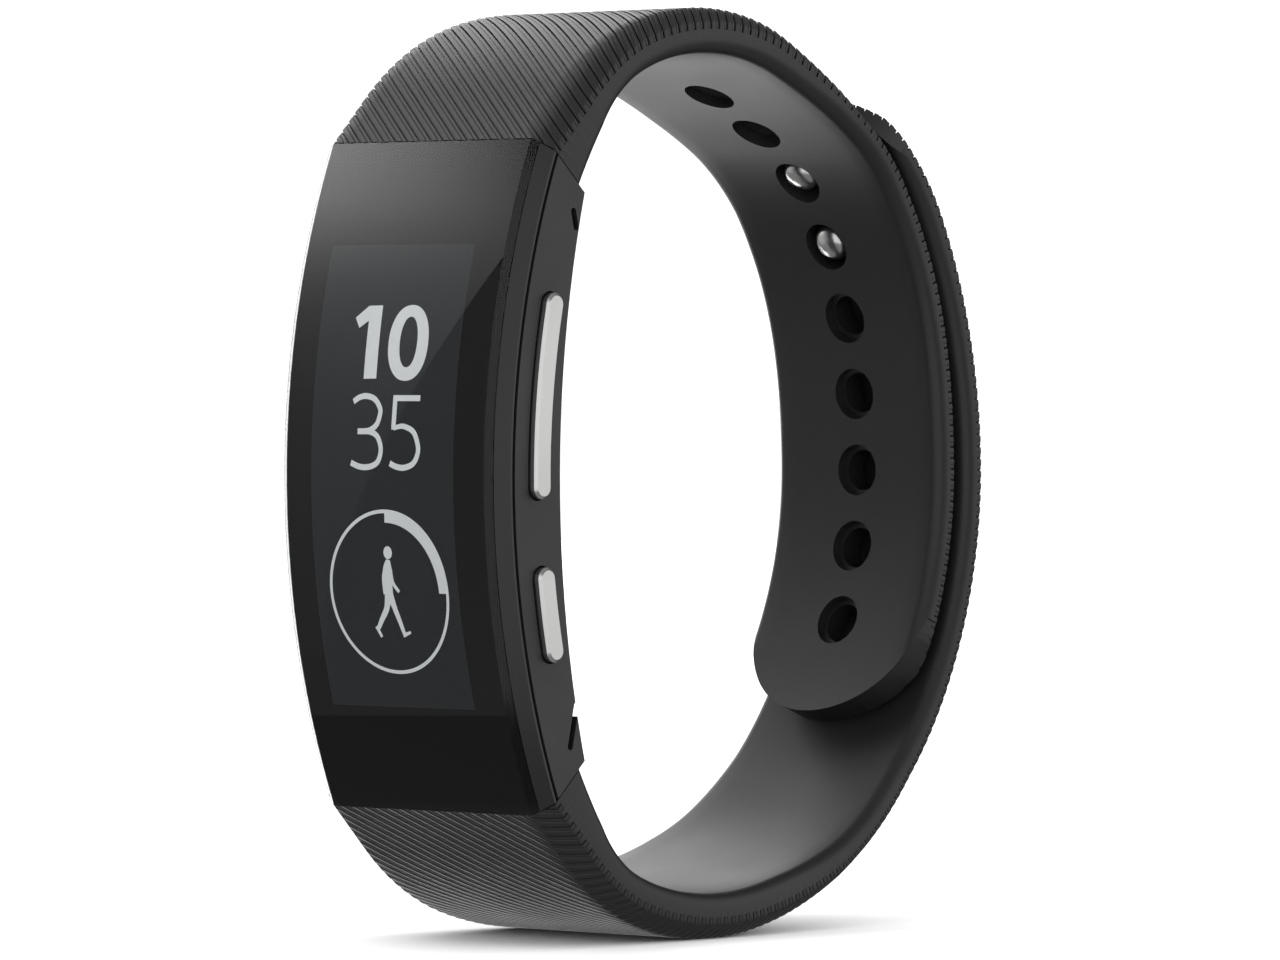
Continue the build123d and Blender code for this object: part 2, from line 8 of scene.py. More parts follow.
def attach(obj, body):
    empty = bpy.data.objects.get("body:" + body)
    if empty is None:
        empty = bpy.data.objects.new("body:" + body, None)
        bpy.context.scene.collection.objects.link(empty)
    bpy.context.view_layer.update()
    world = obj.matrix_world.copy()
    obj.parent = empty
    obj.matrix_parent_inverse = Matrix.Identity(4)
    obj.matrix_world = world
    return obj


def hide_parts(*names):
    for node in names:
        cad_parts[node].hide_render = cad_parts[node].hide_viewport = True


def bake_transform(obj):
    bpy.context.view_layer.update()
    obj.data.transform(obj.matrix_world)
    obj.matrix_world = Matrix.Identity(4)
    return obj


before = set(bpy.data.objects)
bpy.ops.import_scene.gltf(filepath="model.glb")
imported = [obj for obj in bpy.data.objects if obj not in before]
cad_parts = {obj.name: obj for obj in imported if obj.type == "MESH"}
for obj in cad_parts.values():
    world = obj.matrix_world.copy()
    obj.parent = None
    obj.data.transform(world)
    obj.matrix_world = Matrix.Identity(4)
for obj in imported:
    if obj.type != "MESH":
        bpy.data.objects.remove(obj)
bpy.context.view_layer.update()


# ---- Housing -----------------------------------------------------------------------------------------
# Middle shell of glass-filled nylon with a fine satin grain. It holds the glass, the keys and the
# insides. Its two ends meet the strap roots in a thin joint line.
def new_group(name, inputs, outputs):
    """Empty shader node group with named sockets; each is (name, socket type, default)."""
    group = bpy.data.node_groups.new(name, "ShaderNodeTree")
    for title, kind, default in inputs:
        socket = group.interface.new_socket(title, in_out="INPUT", socket_type=kind)
        socket.default_value = default
    for title, kind in outputs:
        group.interface.new_socket(title, in_out="OUTPUT", socket_type=kind)
    return group, group.nodes.new("NodeGroupInput"), group.nodes.new("NodeGroupOutput")


def make_grain_group():
    """Two sizes of noise: a slow cloud that varies the gloss and a fine grain for the bump."""
    inputs = (("Grain Scale", "NodeSocketFloat", 4000.0), ("Cloud Scale", "NodeSocketFloat", 90.0),
              ("Low", "NodeSocketFloat", 0.4), ("High", "NodeSocketFloat", 0.5))
    outputs = (("Roughness", "NodeSocketFloat"), ("Height", "NodeSocketFloat"))
    group, source, sink = new_group("fine_grain", inputs, outputs)
    nodes, links = group.nodes, group.links
    place = nodes.new("ShaderNodeTexCoord")
    grain = nodes.new("ShaderNodeTexNoise")
    grain.inputs["Detail"].default_value = 2.0
    cloud = nodes.new("ShaderNodeTexNoise")
    cloud.inputs["Detail"].default_value = 3.0
    spread = nodes.new("ShaderNodeMapRange")
    spread.inputs["From Min"].default_value = 0.3
    spread.inputs["From Max"].default_value = 0.7
    links.new(place.outputs["Object"], grain.inputs["Vector"])
    links.new(place.outputs["Object"], cloud.inputs["Vector"])
    links.new(source.outputs["Grain Scale"], grain.inputs["Scale"])
    links.new(source.outputs["Cloud Scale"], cloud.inputs["Scale"])
    links.new(cloud.outputs["Fac"], spread.inputs["Value"])
    links.new(source.outputs["Low"], spread.inputs["To Min"])
    links.new(source.outputs["High"], spread.inputs["To Max"])
    links.new(spread.outputs["Result"], sink.inputs["Roughness"])
    links.new(grain.outputs["Fac"], sink.inputs["Height"])
    return group


def make_facing_group():
    """Mask of where the surface leaves a given direction: flat faces against their bevels."""
    inputs = (("Direction", "NodeSocketVector", (1.0, 0.0, 0.0)),
              ("Low", "NodeSocketFloat", 0.9), ("High", "NodeSocketFloat", 0.99))
    group, source, sink = new_group("facing_mask", inputs, (("Mask", "NodeSocketFloat"),))
    nodes, links = group.nodes, group.links
    place = nodes.new("ShaderNodeTexCoord")
    dot = nodes.new("ShaderNodeVectorMath")
    dot.operation = "DOT_PRODUCT"
    spread = nodes.new("ShaderNodeMapRange")
    links.new(place.outputs["Normal"], dot.inputs[0])
    links.new(source.outputs["Direction"], dot.inputs[1])
    links.new(dot.outputs["Value"], spread.inputs["Value"])
    links.new(source.outputs["Low"], spread.inputs["From Min"])
    links.new(source.outputs["High"], spread.inputs["From Max"])
    links.new(spread.outputs["Result"], sink.inputs["Mask"])
    return group


grain_group = make_grain_group()
facing_group = make_facing_group()


def finish(name, colour, rough, bump=0.0, grain=4000.0, cloud=90.0, **sockets):
    """Principled material with the fine-grain group on its roughness and bump."""
    material = bpy.data.materials.new(name)
    material.use_nodes = True
    tree = material.node_tree
    shader = tree.nodes["Principled BSDF"]
    shader.inputs["Base Color"].default_value = (*colour, 1.0)
    for socket, value in sockets.items():
        shader.inputs[socket.replace("_", " ")].default_value = value
    surface = tree.nodes.new("ShaderNodeGroup")
    surface.node_tree = grain_group
    surface.name = "grain"
    surface.inputs["Grain Scale"].default_value = grain
    surface.inputs["Cloud Scale"].default_value = cloud
    surface.inputs["Low"].default_value = rough[0]
    surface.inputs["High"].default_value = rough[1]
    tree.links.new(surface.outputs["Roughness"], shader.inputs["Roughness"])
    if bump:
        relief = tree.nodes.new("ShaderNodeBump")
        relief.inputs["Strength"].default_value = bump
        relief.inputs["Distance"].default_value = 0.00002
        tree.links.new(surface.outputs["Height"], relief.inputs["Height"])
        tree.links.new(relief.outputs["Normal"], shader.inputs["Normal"])
    return material


def dress(node, material):
    """Puts a finish on a CAD node, in all its material slots."""
    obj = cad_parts[node]
    if not obj.data.materials:
        obj.data.materials.append(material)
    for index in range(len(obj.data.materials)):
        obj.data.materials[index] = material


satin_black = finish("satin_black_nylon", (0.012, 0.012, 0.013), (0.36, 0.46), 0.25, grain=5000.0)
dress("housing", satin_black)

# ---- Rear cover and its screws ------------------------------------------------------------------------
# Slightly domed plate of smooth black nylon against the wrist, held by four cross-head screws
# of blackened steel.
dress("rear_cover", finish("cover_black_nylon", (0.014, 0.014, 0.015), (0.28, 0.4), 0.12))
dress("rear_cover_screws", finish("blackened_steel", (0.09, 0.09, 0.095), (0.25, 0.38), 0.1,
                                  Metallic=1.0))

# ---- Insides ----------------------------------------------------------------------------------------
# Board, shielded processor, pouch cell, speaker, microphone, motor, coil, antenna, switches and
# flat cable. They sit between the display and the rear cover and are seen only through openings.
dress("main_board", finish("solder_mask_green", (0.01, 0.06, 0.03), (0.3, 0.45), 0.2))
steel_shield = finish("tinned_steel", (0.5, 0.5, 0.49), (0.28, 0.42), 0.1, Metallic=1.0)
dress("processor_shield", steel_shield)
dress("usb_port", steel_shield)
dress("battery", finish("cell_foil", (0.32, 0.33, 0.34), (0.25, 0.5), 0.6, grain=900.0, Metallic=0.7))
part_black = finish("moulded_black", (0.02, 0.02, 0.02), (0.4, 0.55), 0.2)
for inside in ("speaker", "microphone", "vibration_motor", "volume_switches", "action_switch"):
    dress(inside, part_black)
amber_film = finish("polyimide_film", (0.28, 0.11, 0.02), (0.22, 0.35), 0.05)
for inside in ("display_flex", "radio_antenna", "contactless_coil"):
    dress(inside, amber_film)

# ---- Bezel, seals and strap anchors -----------------------------------------------------------------
# Two facetted rails beside the glass in smooth satin black, with rubber strips below them that
# show as a dark line. Nylon anchors inside the strap roots hook into the housing.
dress("bezel_frame", finish("bezel_satin_black", (0.01, 0.01, 0.011), (0.24, 0.32), 0.08, grain=6000.0,
                            Specular_IOR_Level=0.42))
dress("case_seals", finish("seal_rubber", (0.004, 0.004, 0.004), (0.65, 0.8), 0.2))
insert_nylon = finish("insert_nylon", (0.03, 0.03, 0.03), (0.45, 0.6), 0.2)
dress("upper_strap_anchor", insert_nylon)
dress("lower_strap_anchor", insert_nylon)

# ---- Display ----------------------------------------------------------------------------------------
# Grey reflective display panel, bonded to the glass with clear glue. A black print borders its lit
# window. The digits, ring and figure are the panel's light dots, drawn as thin layers on it. They
# carry a faint painted glow, which stands in for the lamp light that reaches them through the glass.
glass_radius = 61.5
front_y = -27.3
mid_z = 32.939
window_x = -0.79
window_half = 7.05
window_reach = 16.52
print_half = 10.24
print_reach = 23.66
print_depth = 0.975
window_depth = 0.965
ink_depth = 0.955


def on_glass(x, u, depth):
    """Point in metres at x across and arc length u up the glass, at a depth behind its front."""
    arm = glass_radius - depth
    y = front_y + glass_radius - arm * math.cos(u / glass_radius)
    z = mid_z + arm * math.sin(u / glass_radius)
    return Vector((x, y, z)) / 1000


def new_piece(name, bm, material, smooth_below=None):
    """Object from a bmesh, with outward normals, a material and edges sharp above an angle."""
    bmesh.ops.recalc_face_normals(bm, faces=bm.faces)
    mesh = bpy.data.meshes.new(name)
    bm.to_mesh(mesh)
    bm.free()
    obj = bpy.data.objects.new(name, mesh)
    bpy.context.scene.collection.objects.link(obj)
    mesh.materials.append(material)
    mesh.shade_smooth()
    if smooth_below is not None:
        mesh.set_sharp_from_angle(angle=math.radians(smooth_below))
    return obj


def glass_band(name, left, right, depth, material):
    """Thin sheet on the glass's curve between two lines of (x, u) points, facing the front."""
    bm = bmesh.new()
    rows = len(left) - 1
    bmesh.ops.create_grid(bm, x_segments=1, y_segments=rows, size=0.5)
    for vertex in bm.verts:
        index = round((vertex.co.y + 0.5) * rows)
        x, u = right[index] if vertex.co.x > 0 else left[index]
        vertex.co = on_glass(x, u, depth)
    obj = new_piece(name, bm, material)
    if obj.data.polygons[0].normal.y > 0:
        obj.data.flip_normals()
    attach(obj, "core")
    return obj


def smooth_path(points, steps=8):
    """Catmull-Rom curve through (x, u) points."""
    ends = [points[0]] + list(points) + [points[-1]]
    path = []
    for i in range(len(points) - 1):
        a, b, c, d = (Vector(p) for p in ends[i:i + 4])
        for step in range(steps):
            t = step / steps
            path.append(0.5 * (2 * b + (c - a) * t + (2 * a - 5 * b + 4 * c - d) * t * t
                               + (3 * b - a - 3 * c + d) * t ** 3))
    return path + [Vector(points[-1])]


def stroke(name, points, widths, material, curved=True):
    """Pen stroke along points; widths run from its start to its end."""
    if curved:
        path = smooth_path(points)
    else:
        path = [Vector(points[0]).lerp(Vector(points[1]), step / 12) for step in range(13)]
    left = []
    right = []
    for i, point in enumerate(path):
        ahead = path[min(i + 1, len(path) - 1)]
        behind = path[max(i - 1, 0)]
        along = (ahead - behind).normalized()
        place = i / (len(path) - 1) * (len(widths) - 1)
        low = min(int(place), len(widths) - 2)
        half = (widths[low] + (widths[low + 1] - widths[low]) * (place - low)) / 2
        across = Vector((-along.y, along.x)) * half
        left.append(point + across)
        right.append(point - across)
    return glass_band(name, left, right, ink_depth, material)


def oval(cx, cu, rx, ru, start, end, steps, power=1.0):
    """Points of an ellipse or, with power below 1, of a squarer oval. Angles from 12 o'clock."""
    points = []
    for i in range(steps + 1):
        angle = math.radians(start + (end - start) * i / steps)
        sx, cy = math.sin(angle), math.cos(angle)
        points.append((cx + rx * math.copysign(abs(sx) ** power, sx),
                       cu + ru * math.copysign(abs(cy) ** power, cy)))
    return points


def glass_sheet(name, x_low, x_high, reach, depth, material):
    """Thin curved sheet in the glass, between two x and from -reach to +reach along its height."""
    rows = 60
    heights = [-reach + 2 * reach * row / rows for row in range(rows + 1)]
    return glass_band(name, [(x_low, u) for u in heights], [(x_high, u) for u in heights], depth,
                      material)


print_black = finish("glass_print_black", (0.0012, 0.0012, 0.0012), (0.5, 0.6), Specular_IOR_Level=0.0)
glass_sheet("glass_print", -print_half, print_half, print_reach, print_depth, print_black)
panel_grey = finish("display_grey", (0.03, 0.034, 0.038), (0.55, 0.65), 0.1, grain=7000.0,
                    Specular_IOR_Level=0.0)
dress("display_panel", panel_grey)
glass_sheet("display_window", window_x - window_half, window_x + window_half, window_reach, window_depth,
            panel_grey)
# Pale grey dots with a weak emission: a painted glow standing in for the lamp light that reaches the display
# through the glass.
digit_painted_glow = finish("display_pale_grey_painted_glow", (0.75, 0.78, 0.78), (0.6, 0.7), 0.05, grain=7000.0,
                     Specular_IOR_Level=0.0, Emission_Color=(0.93, 0.97, 0.97, 1.0),
                     Emission_Strength=0.24)

stroke("hour_one_stem", [(-2.42, 12.12), (-2.33, 6.89)], (1.24, 1.26), digit_painted_glow, curved=False)
stroke("hour_one_flag", [(-4.13, 10.88), (-2.85, 11.72)], (0.88, 0.98), digit_painted_glow, curved=False)
glass_band("hour_zero", oval(1.16, 9.5, 0.86, 1.8, 0, 360, 64, 0.94),
           oval(1.15, 9.44, 1.96, 2.7, 0, 360, 64, 0.92), ink_depth, digit_painted_glow)
stroke("minute_three_top", [(-3.8, 5.26), (-3.22, 5.56), (-2.51, 5.66), (-1.69, 5.44), (-1.14, 4.84),
                            (-1.1, 4.34), (-1.38, 3.66), (-1.98, 3.27), (-2.6, 3.17), (-3.26, 3.17)],
       (0.42, 0.42), digit_painted_glow)
stroke("minute_three_foot", [(-2.6, 3.17), (-1.9, 3.12), (-1.25, 2.77), (-0.9, 1.96), (-1.11, 1.13),
                             (-1.64, 0.76), (-2.44, 0.63), (-3.15, 0.71), (-3.86, 0.95)],
       (0.42, 0.42), digit_painted_glow)
stroke("minute_five_bar", [(2.8, 5.52), (0.13, 5.52)], (0.42, 0.42), digit_painted_glow, curved=False)
stroke("minute_five_stem", [(0.35, 5.6), (0.29, 3.3)], (0.42, 0.42), digit_painted_glow, curved=False)
stroke("minute_five_bowl", [(0.3, 3.36), (0.75, 3.5), (1.37, 3.52), (2.3, 3.12), (2.78, 2.11),
                            (2.65, 1.35), (2.2, 0.85), (1.37, 0.62), (0.58, 0.71), (0.01, 0.93)],
       (0.3, 0.42, 0.42, 0.42), digit_painted_glow)

ring_x = -0.58
ring_u = -8.2
ring_radius = 5.87
glass_band("goal_ring", oval(ring_x, ring_u, ring_radius - 0.26, ring_radius - 0.26, 0, 360, 96),
           oval(ring_x, ring_u, ring_radius, ring_radius, 0, 360, 96), ink_depth, digit_painted_glow)
glass_band("goal_arc", oval(ring_x, ring_u, ring_radius - 0.93, ring_radius - 0.93, 0, 90, 30),
           oval(ring_x, ring_u, ring_radius - 0.02, ring_radius - 0.02, 0, 90, 30), ink_depth - 0.003,
           digit_painted_glow)
glass_band("figure_head", oval(-0.42, -5.38, 0.01, 0.01, 0, 360, 28),
           oval(-0.42, -5.38, 0.42, 0.46, 0, 360, 28), ink_depth, digit_painted_glow)
stroke("figure_body", [(-0.42, -5.88), (-0.55, -6.5), (-0.62, -7.4), (-0.6, -8.6)],
       (0.34, 0.86, 0.86, 0.8), digit_painted_glow)
stroke("figure_rear_leg", [(-0.72, -8.4), (-0.98, -9.35), (-1.6, -10.2), (-2.12, -10.95)],
       (0.62, 0.5, 0.42, 0.3), digit_painted_glow)
stroke("figure_rear_foot", [(-2.2, -10.66), (-1.78, -11.42)], (0.32, 0.24), digit_painted_glow, curved=False)
stroke("figure_front_leg", [(-0.5, -8.4), (-0.15, -9.4), (0.2, -10.3), (0.5, -11.2)],
       (0.64, 0.46, 0.4, 0.32), digit_painted_glow)
stroke("figure_front_foot", [(0.36, -11.28), (1.14, -11.02)], (0.3, 0.2), digit_painted_glow, curved=False)
stroke("figure_rear_arm", [(-0.74, -6.4), (-1.02, -7.2), (-1.04, -8.35)], (0.36, 0.3, 0.22), digit_painted_glow)
stroke("figure_front_arm", [(-0.3, -6.6), (-0.12, -7.5), (0.42, -8.16)], (0.4, 0.3, 0.26), digit_painted_glow)

# ---- Cover glass --------------------------------------------------------------------------------------
# Curved 1 mm cover glass with a ground and polished bevel down each long side. It drops in between
# the rails and is bonded over the display.
def make_glass_material():
    """Clear glass with a finely ground bevel. Shadow rays pass, so that the display is lit."""
    material = bpy.data.materials.new("cover_glass")
    material.use_nodes = True
    nodes, links = material.node_tree.nodes, material.node_tree.links
    shader = nodes["Principled BSDF"]
    shader.inputs["Base Color"].default_value = (0.97, 0.98, 0.98, 1.0)
    shader.inputs["Transmission Weight"].default_value = 1.0
    shader.inputs["IOR"].default_value = 1.45
    facing = nodes.new("ShaderNodeGroup")
    facing.node_tree = facing_group
    facing.inputs["Direction"].default_value = (0.0, -1.0, 0.0)
    facing.inputs["Low"].default_value = 0.86
    facing.inputs["High"].default_value = 0.9
    rough = nodes.new("ShaderNodeMapRange")
    rough.inputs["To Min"].default_value = 0.14
    rough.inputs["To Max"].default_value = 0.0
    links.new(facing.outputs["Mask"], rough.inputs["Value"])
    links.new(rough.outputs["Result"], shader.inputs["Roughness"])
    path = nodes.new("ShaderNodeLightPath")
    clear = nodes.new("ShaderNodeBsdfTransparent")
    mix = nodes.new("ShaderNodeMixShader")
    output = nodes["Material Output"]
    links.new(path.outputs["Is Shadow Ray"], mix.inputs["Fac"])
    links.new(shader.outputs["BSDF"], mix.inputs[1])
    links.new(clear.outputs["BSDF"], mix.inputs[2])
    links.new(mix.outputs["Shader"], output.inputs["Surface"])
    return material


dress("cover_glass", make_glass_material())

# ---- Side keys ----------------------------------------------------------------------------------------
# Volume rocker and action button of anodised aluminium: a bead-blasted face with a bright cut
# bevel. Each stands in a slit of the housing, kept in by a lip and pressed through its wall.
def make_key_metal():
    """Satin face and polished bevel, told apart by how squarely the surface faces +X."""
    material = finish("anodised_aluminium", (0.62, 0.62, 0.61), (0.3, 0.36), 0.25, grain=9000.0,
                      Metallic=1.0)
    tree = material.node_tree
    facing = tree.nodes.new("ShaderNodeGroup")
    facing.node_tree = facing_group
    facing.inputs["Direction"].default_value = (1.0, 0.0, 0.0)
    facing.inputs["Low"].default_value = 0.9
    facing.inputs["High"].default_value = 0.98
    rough = tree.nodes.new("ShaderNodeMapRange")
    rough.inputs["To Min"].default_value = 0.3
    tint = tree.nodes.new("ShaderNodeMix")
    tint.data_type = "RGBA"
    tint.inputs["A"].default_value = (0.82, 0.82, 0.81, 1.0)
    tint.inputs["B"].default_value = (0.62, 0.62, 0.61, 1.0)
    shader = tree.nodes["Principled BSDF"]
    tree.links.new(facing.outputs["Mask"], rough.inputs["Value"])
    tree.links.new(facing.outputs["Mask"], tint.inputs["Factor"])
    tree.links.new(tree.nodes["grain"].outputs["Roughness"], rough.inputs["To Max"])
    tree.links.new(rough.outputs["Result"], shader.inputs["Roughness"])
    tree.links.new(tint.outputs["Result"], shader.inputs["Base Color"])
    return material


key_metal = make_key_metal()
dress("volume_rocker", key_metal)
dress("action_button", key_metal)

# ---- Straps -------------------------------------------------------------------------------------------
# Two moulded silicone straps, each one piece with its anchor. Slanting ribs cover the outside and
# wrap a little way down both sides; the inside is smooth, with rounded edges.
lead_angle = 43.7
lead_length = 5.0
half_angle = 24.08 / glass_radius
loop_start = (glass_radius * (1 - math.cos(half_angle)), glass_radius * math.sin(half_angle))
upper_arcs = ((18.9902, 31.2), (23.088, 37.8), (163.5356, 4.0), (18.0039, 36.4), (41.109, 26.9))
lower_arcs = ((17.4256, 28.2), (26.8852, 27.0), (31.1121, 51.5), (34.9136, 29.6))
upper_length = 72.7281
loop_length = 144.976
strap_thickness = 3.25
root_extra = 1.85
root_run = 12.0
tail_thinning = 0.85
tip_length = 8.0
upper_tip = 93.5
lower_tip = 39.0
wrap_flex = 62.95
peel_flex = 69.2
slant_reach = 9.2
rib_pitch = 0.895
rib_slope = 0.76
rib_profile = ((0.0, 0.24), (0.06, 0.24), (0.08, 0.02), (0.13, 0.0), (0.33, -0.005), (0.53, 0.0),
               (0.57, 0.015), (0.61, 0.05), (0.65, 0.03), (0.86, 0.035), (0.94, 0.06))


def half_point(arcs, s, inset):
    """Depth behind the glass's apex, height over mid-height and heading along one half of the loop."""
    heading = math.radians(lead_angle)
    y, z = loop_start
    run = min(s, lead_length)
    y += run * math.sin(heading)
    z += run * math.cos(heading)
    left = s - run
    for radius, turn in arcs:
        if left <= 0:
            break
        step = min(left / radius, math.radians(turn))
        y += radius * (math.cos(heading) - math.cos(heading + step))
        z += radius * (math.sin(heading + step) - math.sin(heading))
        heading += step
        left -= radius * step
    return y + inset * math.cos(heading), z - inset * math.sin(heading), heading


def loop_point(s, inset=0.0):
    """Y, Z and heading at arc length s round the loop, from the core's upper end over the top."""
    if s <= upper_length:
        y, z, heading = half_point(upper_arcs, s, inset)
        return y + front_y, mid_z + z, heading
    y, z, heading = half_point(lower_arcs, loop_length - s, inset)
    return y + front_y, mid_z - z, 2 * math.pi - heading


def ease(s, low, high):
    """Smooth rise from 0 at low to 1 at high."""
    t = min(1.0, max(0.0, (s - low) / (high - low)))
    return t * t * (3 - 2 * t)


def root_thickness(s):
    """Strap thickness at arc length s from its own root."""
    left = max(0.0, 1 - max(s, 0.0) / root_run)
    return strap_thickness + root_extra * left * left - tail_thinning * ease(s, 28.0, 42.0)


def upper_outset(s):
    """How far the upper strap's outer face lies inside the loop's outer line."""
    return 2.56 * ease(s, 28.0, 54.0) + 0.6 * ease(s, 54.0, 72.0)


def lower_thickness(s):
    """The lower strap thins towards its tip, over the upper strap."""
    full = root_thickness(loop_length - s)
    return full if s > 54.0 else max(0.5, min(full, upper_outset(s) - 0.16))


def half_width(y):
    """Half width of a strap at depth y in the row frame."""
    stations = ((-19.3, 11.25), (10.3, 9.5), (18.8, 8.4), (27.3, 8.0))
    for (y0, w0), (y1, w1) in zip(stations, stations[1:]):
        if y < y1:
            return w0 + (w1 - w0) * max(0.0, (y - y0) / (y1 - y0))
    return 8.0


def strap_section(width, thick):
    """Half of the strap's section from the outer middle to the inner middle: x, depth below the
    outer face, and how much of the rib relief acts inwards and how much sideways."""
    edge = min(1.13, 0.32 * thick)
    foot = edge + min(0.5, 0.16 * thick)
    flat = 0.8684 * width
    points = [(flat * i / 8, 0.0, 1.0, 0.0) for i in range(9)]
    points += [(0.9173 * width, 0.31 * edge, 1.0, 0.1), (width - 0.03, edge - 0.02, 0.75, 0.6)]
    points += [(width, edge + 0.08, 0.1, 1.0), (width, foot - 0.02, 0.0, 1.0),
               (width, foot + 0.02, 0.0, 0.0)]
    round_off = min(1.0, 0.42 * thick)
    points += [(width, thick - round_off, 0.0, 0.0)]
    for step in range(1, 6):
        turn = math.radians(18 * step)
        points += [(width - round_off * (1 - math.cos(turn)),
                    thick - round_off * (1 - math.sin(turn)), 0.0, 0.0)]
    inner = width - round_off
    points += [(inner * (1 - i / 6), thick, 0.0, 0.0) for i in range(1, 7)]
    return points


def strap_vertex(start, relief, column, columns, outset, thickness):
    """Vertex of a strap's row. Rows lie along the ribs, slanting across the strap."""
    half = columns // 2
    side = 1 if column <= half else -1
    index = column if column <= half else columns - column
    s = start
    for _ in range(4):
        y, _, _ = loop_point(s, outset(s))
        x, depth, inwards, sideways = strap_section(half_width(y), thickness(s))[index]
        s = start - rib_slope * x * side
    y, z, _ = loop_point(s, outset(s) + depth + relief * inwards)
    return Vector(((x - relief * sideways) * side, y, z)) / 1000


def make_strap(name, s_low, s_high, outset, thickness):
    """Closed ribbed band between two arc lengths, longer at both ends than the finished strap."""
    first = math.floor((s_low - slant_reach) / rib_pitch)
    last = math.ceil((s_high + slant_reach) / rib_pitch)
    per_rib = len(rib_profile)
    rows = (last - first) * per_rib
    columns = 2 * (len(strap_section(10.0, 2.4)) - 1)
    bm = bmesh.new()
    bmesh.ops.create_grid(bm, x_segments=columns, y_segments=rows, size=0.5)
    for vertex in bm.verts:
        column = round((vertex.co.x + 0.5) * columns)
        row = round((vertex.co.y + 0.5) * rows)
        phase, relief = rib_profile[row % per_rib]
        start = (first + row // per_rib + phase) * rib_pitch
        vertex.co = strap_vertex(start, relief, column, columns, outset, thickness)
    bmesh.ops.remove_doubles(bm, verts=bm.verts, dist=1e-7)
    rim = [e for e in bm.edges if e.is_boundary]
    bmesh.ops.holes_fill(bm, edges=rim, sides=0)
    return new_piece(name, bm, silicone)


def cut_with(obj, cutters):
    """Takes cutter objects out of obj with booleans, applies them and removes the cutters."""
    bpy.context.view_layer.objects.active = obj
    for cutter in cutters:
        cut = obj.modifiers.new("cut", "BOOLEAN")
        cut.operation = "DIFFERENCE"
        cut.solver = "MANIFOLD"
        cut.object = cutter
        bpy.ops.object.modifier_apply(modifier=cut.name)
        bpy.data.objects.remove(cutter)


def loop_matrix(s, inset=0.0):
    """Frame at arc length s: x along X, y along the strap, z outwards."""
    y, z, heading = loop_point(s, inset)
    along = Vector((0, math.sin(heading), math.cos(heading)))
    out = Vector((0, -math.cos(heading), math.sin(heading)))
    turn = Matrix((Vector((1, 0, 0)), along, out)).transposed().to_4x4()
    return Matrix.Translation(Vector((0, y, z)) / 1000) @ turn


def post_cutter(s, radius, inset_low, inset_high):
    """Round cutter across the strap between two insets."""
    bm = bmesh.new()
    middle = loop_matrix(s, (inset_low + inset_high) / 2)
    bmesh.ops.create_cone(bm, cap_ends=True, segments=48, radius1=radius / 1000, radius2=radius / 1000,
                          depth=(inset_high - inset_low) / 1000)
    bmesh.ops.transform(bm, matrix=middle, verts=bm.verts)
    return new_piece("cutter", bm, silicone)


def root_cutter(s, towards):
    """Block over everything beyond a strap's root."""
    bm = bmesh.new()
    bmesh.ops.create_cube(bm, size=0.04)
    shift = Matrix.Translation(Vector((0, 0.02 * towards, -0.004)))
    bmesh.ops.transform(bm, matrix=loop_matrix(s) @ shift, verts=bm.verts)
    return new_piece("cutter", bm, silicone)


def tip_cutter(s_tip, towards):
    """Half ring that leaves a rounded tip. towards is +1 where arc length rises towards the tip."""
    centre = s_tip - tip_length * towards
    y, _, _ = loop_point(centre)
    width = half_width(y) + 0.02
    steps = 48
    corners = ((0.0, -18.0), (18.0, -18.0), (18.0, 8.0), (0.0, 8.0), (0.0, -18.0))
    bm = bmesh.new()
    bmesh.ops.create_grid(bm, x_segments=4, y_segments=steps, size=0.5)
    for vertex in bm.verts:
        angle = math.pi * (vertex.co.y + 0.5)
        grow, height = corners[round((vertex.co.x + 0.5) * 4)]
        vertex.co = Vector(((width + grow) * math.cos(angle),
                            towards * (tip_length + grow) * math.sin(angle), height)) / 1000
    bmesh.ops.remove_doubles(bm, verts=bm.verts, dist=1e-7)
    bmesh.ops.holes_fill(bm, edges=[e for e in bm.edges if e.is_boundary], sides=0)
    bmesh.ops.transform(bm, matrix=loop_matrix(centre), verts=bm.verts)
    return new_piece("cutter", bm, silicone)


silicone = finish("black_silicone", (0.0105, 0.0105, 0.011), (0.42, 0.5), 0.35, grain=5200.0, cloud=60.0)

upper = make_strap("upper_strap_skin", 0.0, upper_tip, upper_outset, root_thickness)
cutters = [root_cutter(0.04, -1), tip_cutter(upper_tip, 1)]
hole_stations = (33.4, 39.15, 45.65, 53.25, 59.7, 66.2, 72.7, 79.4, 86.15)
for number, station in enumerate(hole_stations):
    foot = upper_outset(station) + root_thickness(station)
    through = 1.85 if number in (2, 3) else 1.5
    cutters.append(post_cutter(station, through, -3.0, foot + 2.0))
    if number not in (2, 3):
        cutters.append(post_cutter(station, 1.87, foot - 0.7, foot + 2.0))
cut_with(upper, cutters)
upper.data.set_sharp_from_angle(angle=math.radians(38))
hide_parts("upper_strap", "upper_strap_tail")
cut_y, cut_z, _ = loop_point(wrap_flex, 4.0)
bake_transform(upper)

lower = make_strap("lower_strap_skin", lower_tip, loop_length, lambda s: 0.0, lower_thickness)
cut_with(lower, [root_cutter(loop_length - 0.04, 1), tip_cutter(lower_tip, -1)])
lower.data.set_sharp_from_angle(angle=math.radians(38))
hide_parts("lower_strap", "lower_strap_tail", "clasp_plate")
cut_y, cut_z, _ = loop_point(peel_flex, 1.2)
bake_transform(lower)

